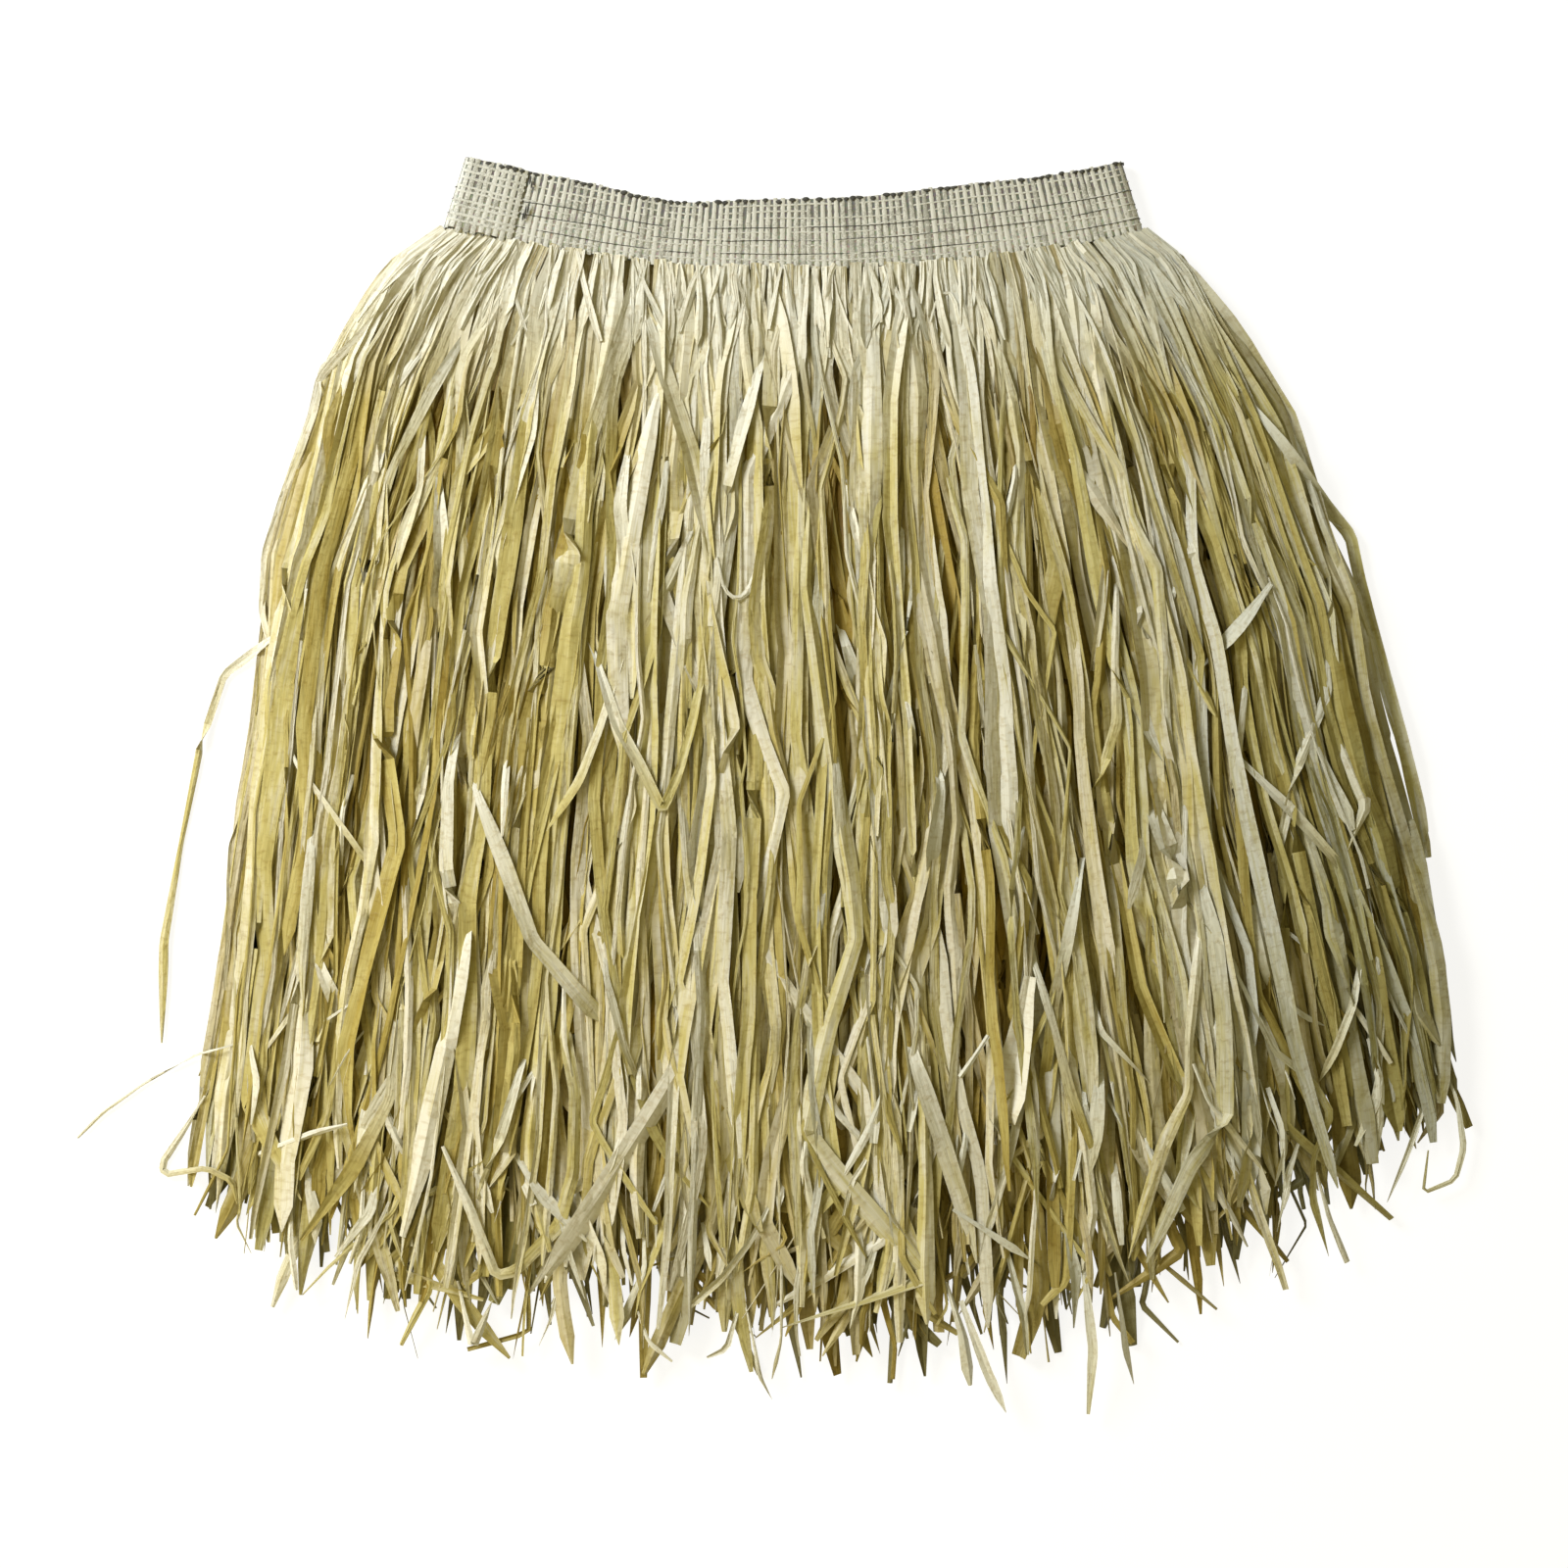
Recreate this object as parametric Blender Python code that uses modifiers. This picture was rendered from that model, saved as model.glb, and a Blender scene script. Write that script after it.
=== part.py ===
"""Grass skirt: raffia strands hanging from a woven elastic waistband, laid flat with its front up.

Run it with: blender --background --python part.py
Metres, +Z up. The skirt lies on z = 0, its waistband towards +Y and its hem towards -Y.
"""

import math
import random

import bmesh
import bpy
from mathutils import Vector

# Waistband, pressed flat: half widths of its two edges, and its height in the middle and at a fold
WAIST_HALF = 0.162
TOP_EDGE_HALF = 0.152
BAND_HEIGHT = 0.0295
BAND_HEIGHT_AT_FOLD = 0.0345
BAND_RISE = 0.0146  # how far the folded ends lie above the middle, because the skirt flares
BAND_TILT = 0.0011  # and how much of that the left end gains and the right end loses
TAPE = 0.0012  # wall of the elastic tape
RIB_PITCH = 0.0033
RIB_RAISE = 0.00035
LAP_END = -0.130  # where the outer end of the tape is sewn down, left of the middle
LAP_START = -0.1495  # where the inner end lies under it

# Outline of the fringe in plan: station down the strand, 0 at the waistband and 1 at the mean hem
OUTLINE = (
    # station, half width on the left, half width on the right
    (0.00, 0.162, 0.162),
    (0.07, 0.195, 0.198),
    (0.15, 0.220, 0.223),
    (0.28, 0.238, 0.252),
    (0.45, 0.248, 0.279),
    (0.62, 0.260, 0.295),
    (0.80, 0.271, 0.307),
    (1.00, 0.290, 0.317),
)
# Mean hem: place along the waistband, -1 at the left fold and 1 at the right, and drop below it there
HEM = (
    # side, drop
    (-1.00, 0.421),
    (-0.90, 0.454),
    (-0.70, 0.483),
    (-0.35, 0.496),
    (0.00, 0.500),
    (0.35, 0.497),
    (0.65, 0.468),
    (0.85, 0.440),
    (1.00, 0.423),
)
ROOT_BELOW_BAND = 0.0007
HEADER_BELOW_TOP = 0.0025
HEADER_HALF = 0.1575
OUTERMOST = 0.957  # place along the waistband of the strands that draw the outline

# Fringe, as a pile of layers: station down the strand, height of the whole pile there, gap under it
PILE = (
    # station, height, lift
    (0.00, 0.0055, 0.00135),
    (0.06, 0.0120, 0.00050),
    (0.16, 0.0190, 0.00040),
    (0.30, 0.0240, 0.00040),
    (0.72, 0.0230, 0.00040),
    (1.15, 0.0070, 0.00040),
)
PILE_LOST_AT_SIDE = 0.40
LAYER_GAP = 0.0003
STRAND_THICKNESS = 0.0017
STRAND_WIDTH = 0.0098
TIP_WIDTH = (0.0032, 0.0062)
SWAY = 0.0042

# Each layer is one comb of strands on its own header, from the floor up
LAYERS = (
    # node name, strands, stations below the waistband, seed
    ("fringe_back_outer", 42, (0.06, 0.16, 0.30, 0.50, 0.72), 11),
    ("fringe_back_inner", 38, (0.06, 0.16, 0.30, 0.52, 0.72), 23),
    ("fringe_front_inner", 38, (0.06, 0.16, 0.30, 0.48, 0.72), 37),
    ("fringe_front_middle", 42, (0.06, 0.16, 0.30, 0.44, 0.58, 0.72, 0.86), 41),
    ("fringe_front_outer", 46, (0.06, 0.16, 0.30, 0.44, 0.58, 0.72, 0.86), 53),
)

# Loose strands at the sides: layer, side, length as a share of the drop, then how far out they stand
STRAYS = (
    # layer, side, reach, ((station, outward), ...)
    ("fringe_front_outer", -1, 0.86, ((0.30, 0.000), (0.44, 0.006), (0.58, 0.026), (0.72, 0.030), (0.86, 0.023))),
    ("fringe_front_middle", -1, 0.95, ((0.72, 0.000), (0.86, 0.006), (0.95, 0.051))),
    ("fringe_front_outer", 1, 0.99, ((0.16, 0.001), (0.30, 0.005), (0.44, 0.007), (0.58, 0.006), (0.72, 0.001))),
    ("fringe_front_middle", 1, 1.04, ((0.86, 0.000), (0.98, 0.000), (1.04, -0.018))),
    ("fringe_back_inner", -1, 1.03, ((0.72, 0.000), (1.03, 0.010))),
)

RAFFIA_TOP = (0.80, 0.75, 0.55)
RAFFIA_UNDER = (0.68, 0.58, 0.32)
TAPE_COLOUR = (0.74, 0.74, 0.66)


def clear_scene():
    for obj in list(bpy.data.objects):
        bpy.data.objects.remove(obj, do_unlink=True)


def new_material(name, colour, roughness):
    material = bpy.data.materials.new(name)
    material.use_nodes = True
    shader = material.node_tree.nodes["Principled BSDF"]
    shader.inputs["Base Color"].default_value = (*colour, 1.0)
    shader.inputs["Roughness"].default_value = roughness
    shader.inputs["Metallic"].default_value = 0.0
    return material


def new_part(name, bm, collection, material):
    """The bmesh as a named object in the collection, with its faces pointing out."""
    bmesh.ops.recalc_face_normals(bm, faces=bm.faces)
    mesh = bpy.data.meshes.new(name)
    bm.to_mesh(mesh)
    bm.free()
    mesh.materials.append(material)
    obj = bpy.data.objects.new(name, mesh)
    collection.objects.link(obj)
    return obj


def interpolate(table, x):
    """A value read from rows of (x, value), held at both ends."""
    if x <= table[0][0]:
        return table[0][1]
    for (x0, v0), (x1, v1) in zip(table, table[1:]):
        if x <= x1:
            return v0 + (v1 - v0) * (x - x0) / (x1 - x0)
    return table[-1][1]


def band_lower_edge(side):
    """How far up the waistband's lower edge lies in plan, where side runs from -1 at the left fold to 1."""
    return BAND_RISE * side * side - BAND_TILT * side


def band_height(side):
    return BAND_HEIGHT + (BAND_HEIGHT_AT_FOLD - BAND_HEIGHT) * side * side


def half_width(x, station):
    """Half width of the skirt at a station, on the side where x lies."""
    column = 2 if x > 0 else 1
    return interpolate([(row[0], row[column]) for row in OUTLINE], station)


def plan_point(side, station):
    """A point of the fringe in plan: side is -1 to 1 along the waistband, station 0 to 1 down the strand."""
    fan = math.copysign((abs(side) / OUTERMOST) ** 1.25, side)
    x = side * WAIST_HALF + fan * (half_width(side, station) - WAIST_HALF)
    y = band_lower_edge(side) - ROOT_BELOW_BAND - interpolate(HEM, side) * station
    return Vector((x, y))


def pile_point(x, y, level):
    """Height of a level of the pile over a point in plan. Level runs from 0 at the floor to the layer count."""
    station = 0.0
    side = x / WAIST_HALF
    for _ in range(6):
        side = max(-1.0, min(1.0, side))
        station = max(0.0, (band_lower_edge(side) - ROOT_BELOW_BAND - y) / interpolate(HEM, side))
        side = x / half_width(x, station)
    side = max(-1.0, min(1.0, side))
    height = interpolate([(row[0], row[1]) for row in PILE], station)
    lift = interpolate([(row[0], row[2]) for row in PILE], station)
    at_root = max(0.0, 1.0 - station / PILE[1][0])
    height *= 1.0 - PILE_LOST_AT_SIDE * side**4 * (1.0 - at_root)
    return lift + height * level / len(LAYERS)


def layer_depth(x, y):
    """Room that one layer has over a point in plan."""
    return pile_point(x, y, 1.0) - pile_point(x, y, 0.0)


def waistband_path():
    """Columns of the tape's outer face: (place across, height, is it on the front), from the inner end round."""
    front, back = 0.0082, 0.0
    lap = front + RIB_RAISE + LAYER_GAP + TAPE
    rib_columns = 2 * round((WAIST_HALF - (front - back) / 2 - LAP_START) / RIB_PITCH)
    right = WAIST_HALF - (front - back) / 2
    left = -WAIST_HALF + (lap - back) / 2
    columns = []
    for i in range(rib_columns + 1):
        columns.append((LAP_START + (right - LAP_START) * i / rib_columns, front, True))
    fold_steps = 6
    for i in range(1, fold_steps):
        turn = math.pi / 2 - math.pi * i / fold_steps
        radius = (front - back) / 2
        columns.append((right + radius * math.cos(turn), (front + back) / 2 + radius * math.sin(turn), False))
    back_steps = 20
    for i in range(back_steps + 1):
        columns.append((right + (left - right) * i / back_steps, back, False))
    for i in range(1, fold_steps):
        turn = -math.pi / 2 - math.pi * i / fold_steps
        radius = (lap - back) / 2
        columns.append((left + radius * math.cos(turn), (lap + back) / 2 + radius * math.sin(turn), False))
    lap_columns = 2 * round((LAP_END - left) / RIB_PITCH)
    for i in range(lap_columns + 1):
        columns.append((left + (LAP_END - left) * i / lap_columns, lap, True))
    return columns


def build_waistband(collection, material):
    """One strip of elastic tape wound once round the waist, its outer end lapped over its inner end."""
    columns = waistband_path()
    bm = bmesh.new()
    grid = []
    for across, height, _ in columns:
        side = across / WAIST_HALF
        low = Vector((across, band_lower_edge(side), height))
        high = Vector((side * TOP_EDGE_HALF, low.y + band_height(side), height))
        grid.append((bm.verts.new(low), bm.verts.new(high)))
    for (low, high), (next_low, next_high) in zip(grid, grid[1:]):
        bm.faces.new((low, next_low, next_high, high))
    shell = new_part("waistband_shell", bm, collection, material)

    # The outer face points up on the front, so the wall grows inwards from it.
    if shell.data.polygons[0].normal.z < 0:
        shell.data.flip_normals()
    wall = shell.modifiers.new("tape", "SOLIDIFY")
    wall.thickness = TAPE
    wall.offset = -1.0
    wall.use_even_offset = True
    bpy.context.view_layer.update()
    solid = bpy.data.meshes.new_from_object(shell.evaluated_get(bpy.context.evaluated_depsgraph_get()))
    bpy.data.objects.remove(shell, do_unlink=True)

    # Every other column of the outer face on the front is the crest of a rib.
    for index, (_, _, on_front) in enumerate(columns):
        if on_front and index % 2:
            for vertex in solid.vertices[2 * index : 2 * index + 2]:
                vertex.co.z += RIB_RAISE
    solid.name = "waistband"
    band = bpy.data.objects.new("waistband", solid)
    collection.objects.link(band)
    return band


def strand_roots(count):
    """Places of the strands along the waistband, a little closer together towards the folds."""
    reach = HEADER_HALF / WAIST_HALF
    crowd = 0.9
    half_pitch = reach / count
    span = reach - half_pitch
    roots = []
    for k in range(count):
        even = -1.0 + 2.0 * k / (count - 1)
        roots.append(span * math.sin(crowd * even) / math.sin(crowd))
    return roots


def stray_rows(name, side):
    for layer, stray_side, reach, rows in STRAYS:
        if layer == name and stray_side == side:
            return reach, rows
    return None, ()


def strand_reach(rng, count, k):
    """Length of a strand as a share of the drop: mostly even, with a few short and a few long ones."""
    reach = rng.uniform(0.955, 1.022)
    chance = rng.random()
    if chance < 0.10:
        reach = rng.uniform(0.90, 0.95)
    elif chance > 0.86 and 3 < k < count - 4:
        reach = rng.uniform(1.03, 1.06)
    return reach


def strand_centres(name, count, stations, seed):
    """For each strand the points of its middle line in plan, one for the root, each station and the tip."""
    rng = random.Random(seed)
    waves = [(rng.uniform(1.2, 3.4), rng.uniform(0.5, 1.6), rng.uniform(0, math.tau)) for _ in range(3)]
    roots = strand_roots(count)
    strands = []
    for k, root in enumerate(roots):
        at_side = (-1 if k == 0 else 1) if k in (0, count - 1) else 0
        stray_reach, stray = stray_rows(name, at_side)
        reach = strand_reach(rng, count, k)
        lean = rng.uniform(-0.5, 0.5)
        if stray_reach:
            reach = stray_reach
        kept = [t for t in stations if t < reach - 0.05]
        points = []
        for t in [0.0, *kept, reach]:
            calm = min(1.0, t / 0.25) * (1.0 - 0.75 * root**4)
            sway = 0.0
            for turns, rate, phase in waves:
                sway += SWAY * math.sin(math.tau * (turns * root * 0.5 + rate * t) + phase)
            pitch = 1.0 / count
            knock = calm * pitch * 0.34 * math.sin(math.tau * (lean + 1.9 * t * lean) + 7.0 * k)
            point = plan_point(root + knock, t)
            point.x += calm * sway
            point.x += at_side * interpolate(stray, t) if stray else 0.0
            points.append(point)
        strands.append(points)
    return strands


def spacing(strands, k, i, forward):
    """Distance from strand k to its nearer neighbour at ring i, square to the strand."""
    here = strands[k][i]
    gaps = []
    for other in (k - 1, k + 1):
        if 0 <= other < len(strands):
            line = strands[other]
            there = line[min(i, len(line) - 1)]
            gaps.append(abs((there - here).cross(forward)))
    return min(gaps)


def ring_corners(here, forward, section, level, lean):
    """Four corners of a folded raffia leaf: a wide face below, and a narrow crease above."""
    width, depth, crest = section
    across = Vector((forward.y, -forward.x))
    if across.x < 0:
        across.negate()
    wide, narrow = width / 2, width * 0.14
    half = depth / 2
    # place across, then height as a share of the layer's room
    outline = ((-wide, -half - lean), (wide, -half + lean), (crest + narrow, half), (crest - narrow, half))
    corners = []
    for place, share in outline:
        point = here + across * place
        corners.append(Vector((point.x, point.y, pile_point(point.x, point.y, level + share))))
    return corners


def header_points(side, level):
    """The header's section at a place along the waistband: lower edge then upper edge, bottom then top."""
    half_share = 0.5 - LAYER_GAP / 2 / layer_depth(side * WAIST_HALF, band_lower_edge(side))
    low = Vector((side * WAIST_HALF, band_lower_edge(side) - ROOT_BELOW_BAND))
    rise = band_height(side) - HEADER_BELOW_TOP
    high = Vector((side * TOP_EDGE_HALF, band_lower_edge(side) + rise))
    bottom = pile_point(low.x, low.y, level + 0.5 - half_share)
    top = pile_point(low.x, low.y, level + 0.5 + half_share)
    return [
        Vector((low.x, low.y, bottom)),
        Vector((low.x, low.y, top)),
        Vector((high.x, high.y, top)),
        Vector((high.x, high.y, bottom)),
    ]


def build_fringe(name, count, stations, seed, level, collection, material):
    """A header strip that lies inside the waistband, with one strand drawn out of each of its teeth."""
    rng = random.Random(seed + 1)
    roots = strand_roots(count)
    strands = strand_centres(name, count, stations, seed)

    # The header is a row of cells, in turn a tooth under a strand and a gap.
    edges = []
    for k, root in enumerate(roots):
        beside = [abs(roots[j] - root) for j in (k - 1, k + 1) if 0 <= j < count]
        half_tooth = 0.36 * min(beside)
        edges += [root - half_tooth, root + half_tooth]
    bm = bmesh.new()
    sections = [[bm.verts.new(p) for p in header_points(side, level)] for side in edges]
    bm.faces.new(sections[0])
    bm.faces.new(reversed(sections[-1]))
    teeth = []
    for cell, (left, right) in enumerate(zip(sections, sections[1:])):
        front = bm.faces.new((left[0], right[0], right[1], left[1]))
        bm.faces.new((left[1], right[1], right[2], left[2]))
        bm.faces.new((left[2], right[2], right[3], left[3]))
        bm.faces.new((left[3], right[3], right[0], left[0]))
        if cell % 2 == 0:
            teeth.append(front)

    for k, tooth in enumerate(teeth):
        points = strands[k]
        crest_side = rng.uniform(-0.22, 0.22)
        turn = rng.uniform(0, math.tau)
        turn_rate = rng.uniform(0.6, 1.4)
        full_width = STRAND_WIDTH * rng.uniform(0.80, 1.0)
        tip_width = rng.uniform(*TIP_WIDTH)
        face = tooth
        for i in range(1, len(points)):
            here = points[i]
            ahead = points[min(i + 1, len(points) - 1)]
            forward = (ahead - points[i - 1]).normalized()
            is_tip = i == len(points) - 1
            room = spacing(strands, k, i, forward)
            width = min(full_width, 0.74 * room)
            if is_tip:
                width = min(tip_width, 0.8 * width)
            depth_here = layer_depth(here.x, here.y)
            thick = min(STRAND_THICKNESS, 0.60 * depth_here) * (0.5 if is_tip else 1.0)
            spare = (depth_here - thick - LAYER_GAP) / 2 / depth_here
            rise = -0.9 * spare if level == 0 else 0.3 * spare * math.sin(2.0 * turn + 3.0 * i / len(points))
            lean = 0.55 * spare * math.sin(turn + turn_rate * math.tau * 0.9 * i / len(points))
            if is_tip or level == 0:
                lean = 0.0
            section = (width, thick / depth_here, crest_side * width)
            corners = ring_corners(here, forward, section, level + 0.5 + rise, lean)
            face = bmesh.ops.extrude_discrete_faces(bm, faces=[face])["faces"][0]
            for vertex, corner in zip(face.verts, corners):
                vertex.co = corner
    return new_part(name, bm, collection, material)


def centre_on_floor(parts):
    """Moves every mesh together, so that the origin is under the middle of the skirt's outline."""
    points = [vertex.co for part in parts for vertex in part.data.vertices]
    low = [min(p[axis] for p in points) for axis in range(3)]
    high = [max(p[axis] for p in points) for axis in range(3)]
    shift = Vector((-(low[0] + high[0]) / 2, -(low[1] + high[1]) / 2, -low[2]))
    for part in parts:
        for vertex in part.data.vertices:
            vertex.co += shift


def main():
    clear_scene()
    collection = bpy.data.collections.new("grass_skirt")
    bpy.context.scene.collection.children.link(collection)
    tape = new_material("elastic_tape", TAPE_COLOUR, 0.85)
    parts = [build_waistband(collection, tape)]
    for level, (name, count, stations, seed) in enumerate(LAYERS):
        share = level / (len(LAYERS) - 1)
        colour = [under + (top - under) * share for under, top in zip(RAFFIA_UNDER, RAFFIA_TOP)]
        raffia = new_material("raffia_" + name, colour, 0.6)
        parts.append(build_fringe(name, count, stations, seed, level, collection, raffia))
    centre_on_floor(parts)


main()
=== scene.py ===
"""Grass skirt laid flat with its front up: raffia leaves hung from a ribbed elastic waistband."""

import math

import bpy
import numpy as np
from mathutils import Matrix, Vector


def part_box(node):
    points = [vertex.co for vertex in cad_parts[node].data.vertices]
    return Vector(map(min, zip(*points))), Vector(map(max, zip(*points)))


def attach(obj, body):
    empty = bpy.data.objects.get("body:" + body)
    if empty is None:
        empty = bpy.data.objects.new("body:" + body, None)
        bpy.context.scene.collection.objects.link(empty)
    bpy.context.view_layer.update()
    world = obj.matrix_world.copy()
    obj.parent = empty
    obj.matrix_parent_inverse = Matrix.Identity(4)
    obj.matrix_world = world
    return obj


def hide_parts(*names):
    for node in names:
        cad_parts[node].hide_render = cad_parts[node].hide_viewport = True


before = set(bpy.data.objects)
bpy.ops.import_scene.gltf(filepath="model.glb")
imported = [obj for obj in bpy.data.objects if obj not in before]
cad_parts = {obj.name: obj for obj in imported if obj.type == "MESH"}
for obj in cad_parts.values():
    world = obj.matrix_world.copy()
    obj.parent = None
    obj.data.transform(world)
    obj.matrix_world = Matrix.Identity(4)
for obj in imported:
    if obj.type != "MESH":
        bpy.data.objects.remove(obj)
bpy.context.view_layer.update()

# Camera, floor and light
# The skirt lies on a white light table and is seen straight from above, waistband at the top.
# The main light stands beyond the waistband on the left. A faint warm one at the lower left and a
# warm sky fill the shade.
FRAME_WIDTH = 0.72
FRAME_MIDDLE = (0.0025, 0.0001)
FRAME_HEIGHT_ABOVE_FLOOR = 0.018
LENS, SENSOR = 85.0, 36.0
FLOOR_SIZE = 8.0
FLOOR_LEVEL = -0.0003

scene = bpy.context.scene
scene.view_settings.view_transform = "Standard"

camera_data = bpy.data.cameras.new("camera")
camera_data.lens = LENS
camera_data.sensor_width = SENSOR
camera = bpy.data.objects.new("camera", camera_data)
camera.location = (*FRAME_MIDDLE, FRAME_HEIGHT_ABOVE_FLOOR + FRAME_WIDTH / SENSOR * LENS)
scene.collection.objects.link(camera)
scene.camera = camera

LIGHTS = (
    # name, place, what it points at, size, power, colour
    ("key", (-1.30, 1.02, 1.12), (0.0, -0.02, 0.0), 0.75, 38.5, (0.97, 0.985, 1.0)),
    ("fill", (-0.9, -0.5, 0.65), (0.0, 0.0, 0.0), 0.8, 4.0, (1.0, 0.84, 0.46)),
)
for name, place, target, size, power, colour in LIGHTS:
    light = bpy.data.lights.new(name, "AREA")
    light.size = size
    light.energy = power
    light.color = colour
    lamp = bpy.data.objects.new(name, light)
    lamp.location = place
    lamp.rotation_euler = (Vector(target) - Vector(place)).to_track_quat("-Z", "Y").to_euler()
    scene.collection.objects.link(lamp)

world = bpy.data.worlds.new("studio")
world.use_nodes = True
sky = world.node_tree.nodes["Background"]
sky.inputs["Color"].default_value = (1.0, 0.86, 0.40, 1.0)
sky.inputs["Strength"].default_value = 0.30
scene.world = world

bpy.ops.mesh.primitive_plane_add(size=FLOOR_SIZE, location=(0.0, 0.0, FLOOR_LEVEL))
floor = bpy.context.object
floor.name = "floor"
opal = bpy.data.materials.new("light_table_opal")
opal.use_nodes = True
opal_shader = opal.node_tree.nodes["Principled BSDF"]
opal_shader.inputs["Base Color"].default_value = (0.3, 0.3, 0.3, 1.0)
opal_shader.inputs["Roughness"].default_value = 0.9
opal_shader.inputs["Specular IOR Level"].default_value = 0.0
opal_shader.inputs["Emission Color"].default_value = (1.0, 1.0, 1.0, 1.0)
opal_shader.inputs["Emission Strength"].default_value = 0.84
floor.data.materials.append(opal)

# Waistband tape
# One strip of elastic, 30 mm high, wound once round the waist and pressed flat. Its outer end laps
# over its inner end at the front left. It is curved in plan, because the skirt flares below it.
WAIST_HALF = 0.162
TOP_EDGE_HALF = 0.152
BAND_HEIGHT = 0.0320
BAND_HEIGHT_AT_FOLD = 0.0322
BAND_RISE = 0.0183
BAND_TILT = 0.0011
DENT_AT, DENT_WIDTH, DENT_BELOW, DENT_ABOVE = -0.36, 0.19, 0.0010, 0.0040
CREST_AT, CREST_WIDTH, CREST = 0.50, 0.24, 0.0022
TAPE = 0.0012
WEB_BELOW_FACE = 0.00022
FRONT_FACE = 0.0082
LAP_FACE = 0.01005
LAP_END = -0.130
LAP_START = -0.1495
RIB_PITCH = 0.0033

# The solids are centred on their outline, so the middle of the waist is found from the waistband's box.
low_corner, high_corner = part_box("waistband")
WAIST_X = high_corner[0] - WAIST_HALF
WAIST_Y = low_corner[1] + BAND_TILT**2 / 4 / BAND_RISE


def band_dent(side):
    """The tape sags in one place, left of the middle."""
    return np.exp(-(((side - DENT_AT) / DENT_WIDTH) ** 2))


def band_lower_edge(side):
    return BAND_RISE * side**2 - BAND_TILT * side - DENT_BELOW * band_dent(side)


def band_height(side):
    crest = CREST * np.exp(-(((side - CREST_AT) / CREST_WIDTH) ** 2))
    height = BAND_HEIGHT + (BAND_HEIGHT_AT_FOLD - BAND_HEIGHT) * side**2
    return height + crest - (DENT_ABOVE - DENT_BELOW) * band_dent(side)


def tape_path(spacing):
    """Places at even spacing round the tape's outer face, seen along Y, and the way that each faces."""
    right = WAIST_HALF - FRONT_FACE / 2
    left = -WAIST_HALF + LAP_FACE / 2
    turn = np.linspace(0, math.pi, 25)
    corners = [(LAP_START, FRONT_FACE)]
    corners += [(right + FRONT_FACE / 2 * math.sin(a), FRONT_FACE / 2 * (1 + math.cos(a))) for a in turn]
    corners += [(left - LAP_FACE / 2 * math.sin(a), LAP_FACE / 2 * (1 - math.cos(a))) for a in turn]
    corners += [(LAP_END - 0.007, LAP_FACE), (LAP_END, FRONT_FACE + 0.0005)]
    corners = np.array(corners)
    gone = np.concatenate([[0], np.cumsum(np.hypot(*np.diff(corners, axis=0).T))])
    count = round(gone[-1] / spacing)
    at = np.linspace(0, gone[-1], count + 1)
    x, z = np.interp(at, gone, corners[:, 0]), np.interp(at, gone, corners[:, 1])
    ahead = np.gradient(np.stack([x, z], 1), axis=0)
    ahead /= np.linalg.norm(ahead, axis=1)[:, None]
    facing = np.stack([-ahead[:, 1], np.zeros(len(at)), ahead[:, 0]], 1)
    return at, x, z, facing


def tape_point(x, z, height, facing, lift):
    """World place on the tape, at a share of its height, lifted off its outer face."""
    side = x / WAIST_HALF
    low = band_lower_edge(side)
    across = x + (side * TOP_EDGE_HALF - x) * height
    place = np.stack([WAIST_X + across, WAIST_Y + low + band_height(side) * height, z + 0 * across], -1)
    return place + facing * np.asarray(lift)[..., None]


def link_piece(name, mesh):
    piece = bpy.data.objects.new(name, mesh)
    scene.collection.objects.link(piece)
    return piece


def new_material(name, colour, roughness):
    material = bpy.data.materials.new(name)
    material.use_nodes = True
    shader = material.node_tree.nodes["Principled BSDF"]
    shader.inputs["Base Color"].default_value = (*colour, 1.0)
    shader.inputs["Roughness"].default_value = roughness
    return material, material.node_tree, shader


def add_node(tree, kind, links=(), values=(), **settings):
    """A node with its settings, its constant inputs and its links, each given by socket name or number."""
    node = tree.nodes.new(kind)
    for key, value in settings.items():
        setattr(node, key, value)
    for socket, value in dict(values).items():
        node.inputs[socket].default_value = value
    for socket, source in dict(links).items():
        tree.links.new(source, node.inputs[socket])
    return node


def add_maths(tree, operation, *values):
    """A maths node that takes numbers and sockets alike."""
    node = add_node(tree, "ShaderNodeMath", operation=operation)
    for number, value in enumerate(values):
        if isinstance(value, float):
            node.inputs[number].default_value = value
        else:
            tree.links.new(value, node.inputs[number])
    return node.outputs[0]


def add_noise(tree, scale, detail, roughness=0.5):
    """Noise in the skirt's own space."""
    texture_at = add_node(tree, "ShaderNodeTexCoord")
    return add_node(
        tree,
        "ShaderNodeTexNoise",
        links={"Vector": texture_at.outputs["Object"]},
        values={"Scale": scale, "Detail": detail, "Roughness": roughness},
    )


def build_tape():
    """The tape's own web, whose dark grey is partly the elastic's own and partly painted shade between the
    ribs; it stops just short of their top ends.
    """
    _, x, z, facing = tape_path(spacing=0.0022)
    rows = np.linspace(0, 1, 7)
    sunk = np.full(len(x), -WEB_BELOW_FACE)
    grid = np.array([tape_point(x, z, row * 0.985, facing, sunk) for row in rows])
    columns = len(x)
    vertices = grid.reshape(-1, 3)
    faces = [
        (r * columns + c, r * columns + c + 1, (r + 1) * columns + c + 1, (r + 1) * columns + c)
        for r in range(len(rows) - 1)
        for c in range(columns - 1)
    ]
    mesh = bpy.data.meshes.new("waistband_tape")
    mesh.from_pydata(vertices.tolist(), [], faces)
    heights = mesh.attributes.new("height", "FLOAT", "POINT")
    heights.data.foreach_set("value", np.repeat(rows, columns))
    tape = link_piece("waistband_tape", mesh)
    wall = tape.modifiers.new("wall", "SOLIDIFY")
    wall.thickness = TAPE - 0.0003
    wall.offset = -1.0
    mesh.shade_smooth()
    return tape


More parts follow.
